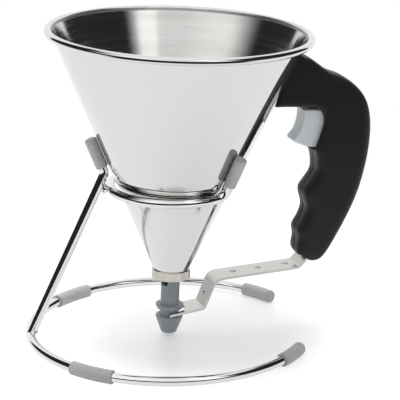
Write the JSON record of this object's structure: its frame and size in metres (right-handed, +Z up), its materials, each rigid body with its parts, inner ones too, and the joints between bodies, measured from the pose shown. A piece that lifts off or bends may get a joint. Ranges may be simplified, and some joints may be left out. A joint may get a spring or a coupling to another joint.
{
  "type": "batter dispenser with stand",
  "caption": "Hand-held funnel dispenser for pancake batter: steel cone, trigger handle, lever-worked nozzle valve and a wire stand it lifts out of.",
  "frame": {"origin": "on the table, under the middle of the object's box", "axes": "+X towards the handle, +Z up, +Y towards the screw side of the handle; the hopper leans 2.1 degrees towards +X as it sits in its stand"},
  "size_m": [0.2632, 0.2164, 0.2375],
  "materials": {
    "polished_steel": "mirror polished outside, brushed round inside",
    "polished_wire": "polished",
    "satin_steel": "satin",
    "black_grip": "satin black",
    "trigger_grey": "fine satin",
    "nozzle_grey": "satin",
    "sleeve_grey": "matte soft plastic",
    "seal_rubber": "matte"
  },
  "bodies": {
    "stand": {"base_ring": "polished_wire", "stand_leg": "polished_wire", "cradle_wire": "polished_wire", "post_sleeve_left": "sleeve_grey", "post_sleeve_front": "sleeve_grey", "post_sleeve_back": "sleeve_grey", "foot_sleeve_front": "sleeve_grey", "foot_sleeve_back": "sleeve_grey", "end_cap_front": "sleeve_grey", "end_cap_back": "sleeve_grey"},
    "funnel": {"hopper": "polished_steel", "outlet_collar": "polished_steel", "handle_bracket": "satin_steel", "handle_shell_left": "black_grip", "handle_shell_right": "black_grip", "handle_screws": "satin_steel", "lever_pivot_pin": "satin_steel"},
    "lever": {"trigger": "trigger_grey", "trigger_rivets": "satin_steel", "lever_arm": "satin_steel", "pivot_bush": "satin_steel", "return_spring": "satin_steel"},
    "nozzle": {"nozzle": "nozzle_grey", "valve_head": "nozzle_grey", "valve_seal": "seal_rubber"}
  },
  "joints": [
    {"name": "funnel_lift", "type": "slide", "parent": "stand", "child": "funnel", "axis": [0, 0, 1], "range_m": [0, 0.15]},
    {"name": "trigger_pull", "type": "hinge", "parent": "funnel", "child": "lever", "pos_m": [0.08608, 0, 0.06559], "axis": [0, 1, 0], "range_deg": [0, 5], "stiffness_Nm_per_rad": 0.6, "springref_deg": -20.05},
    {"name": "nozzle_lift", "type": "slide", "parent": "funnel", "child": "nozzle", "axis": [0.0366, 0, 0.9993], "range_m": [0, 0.0095]}
  ],
  "couplings": [
    {"joint": "nozzle_lift", "follows": "trigger_pull", "m_per_rad": 0.1054}
  ]
}
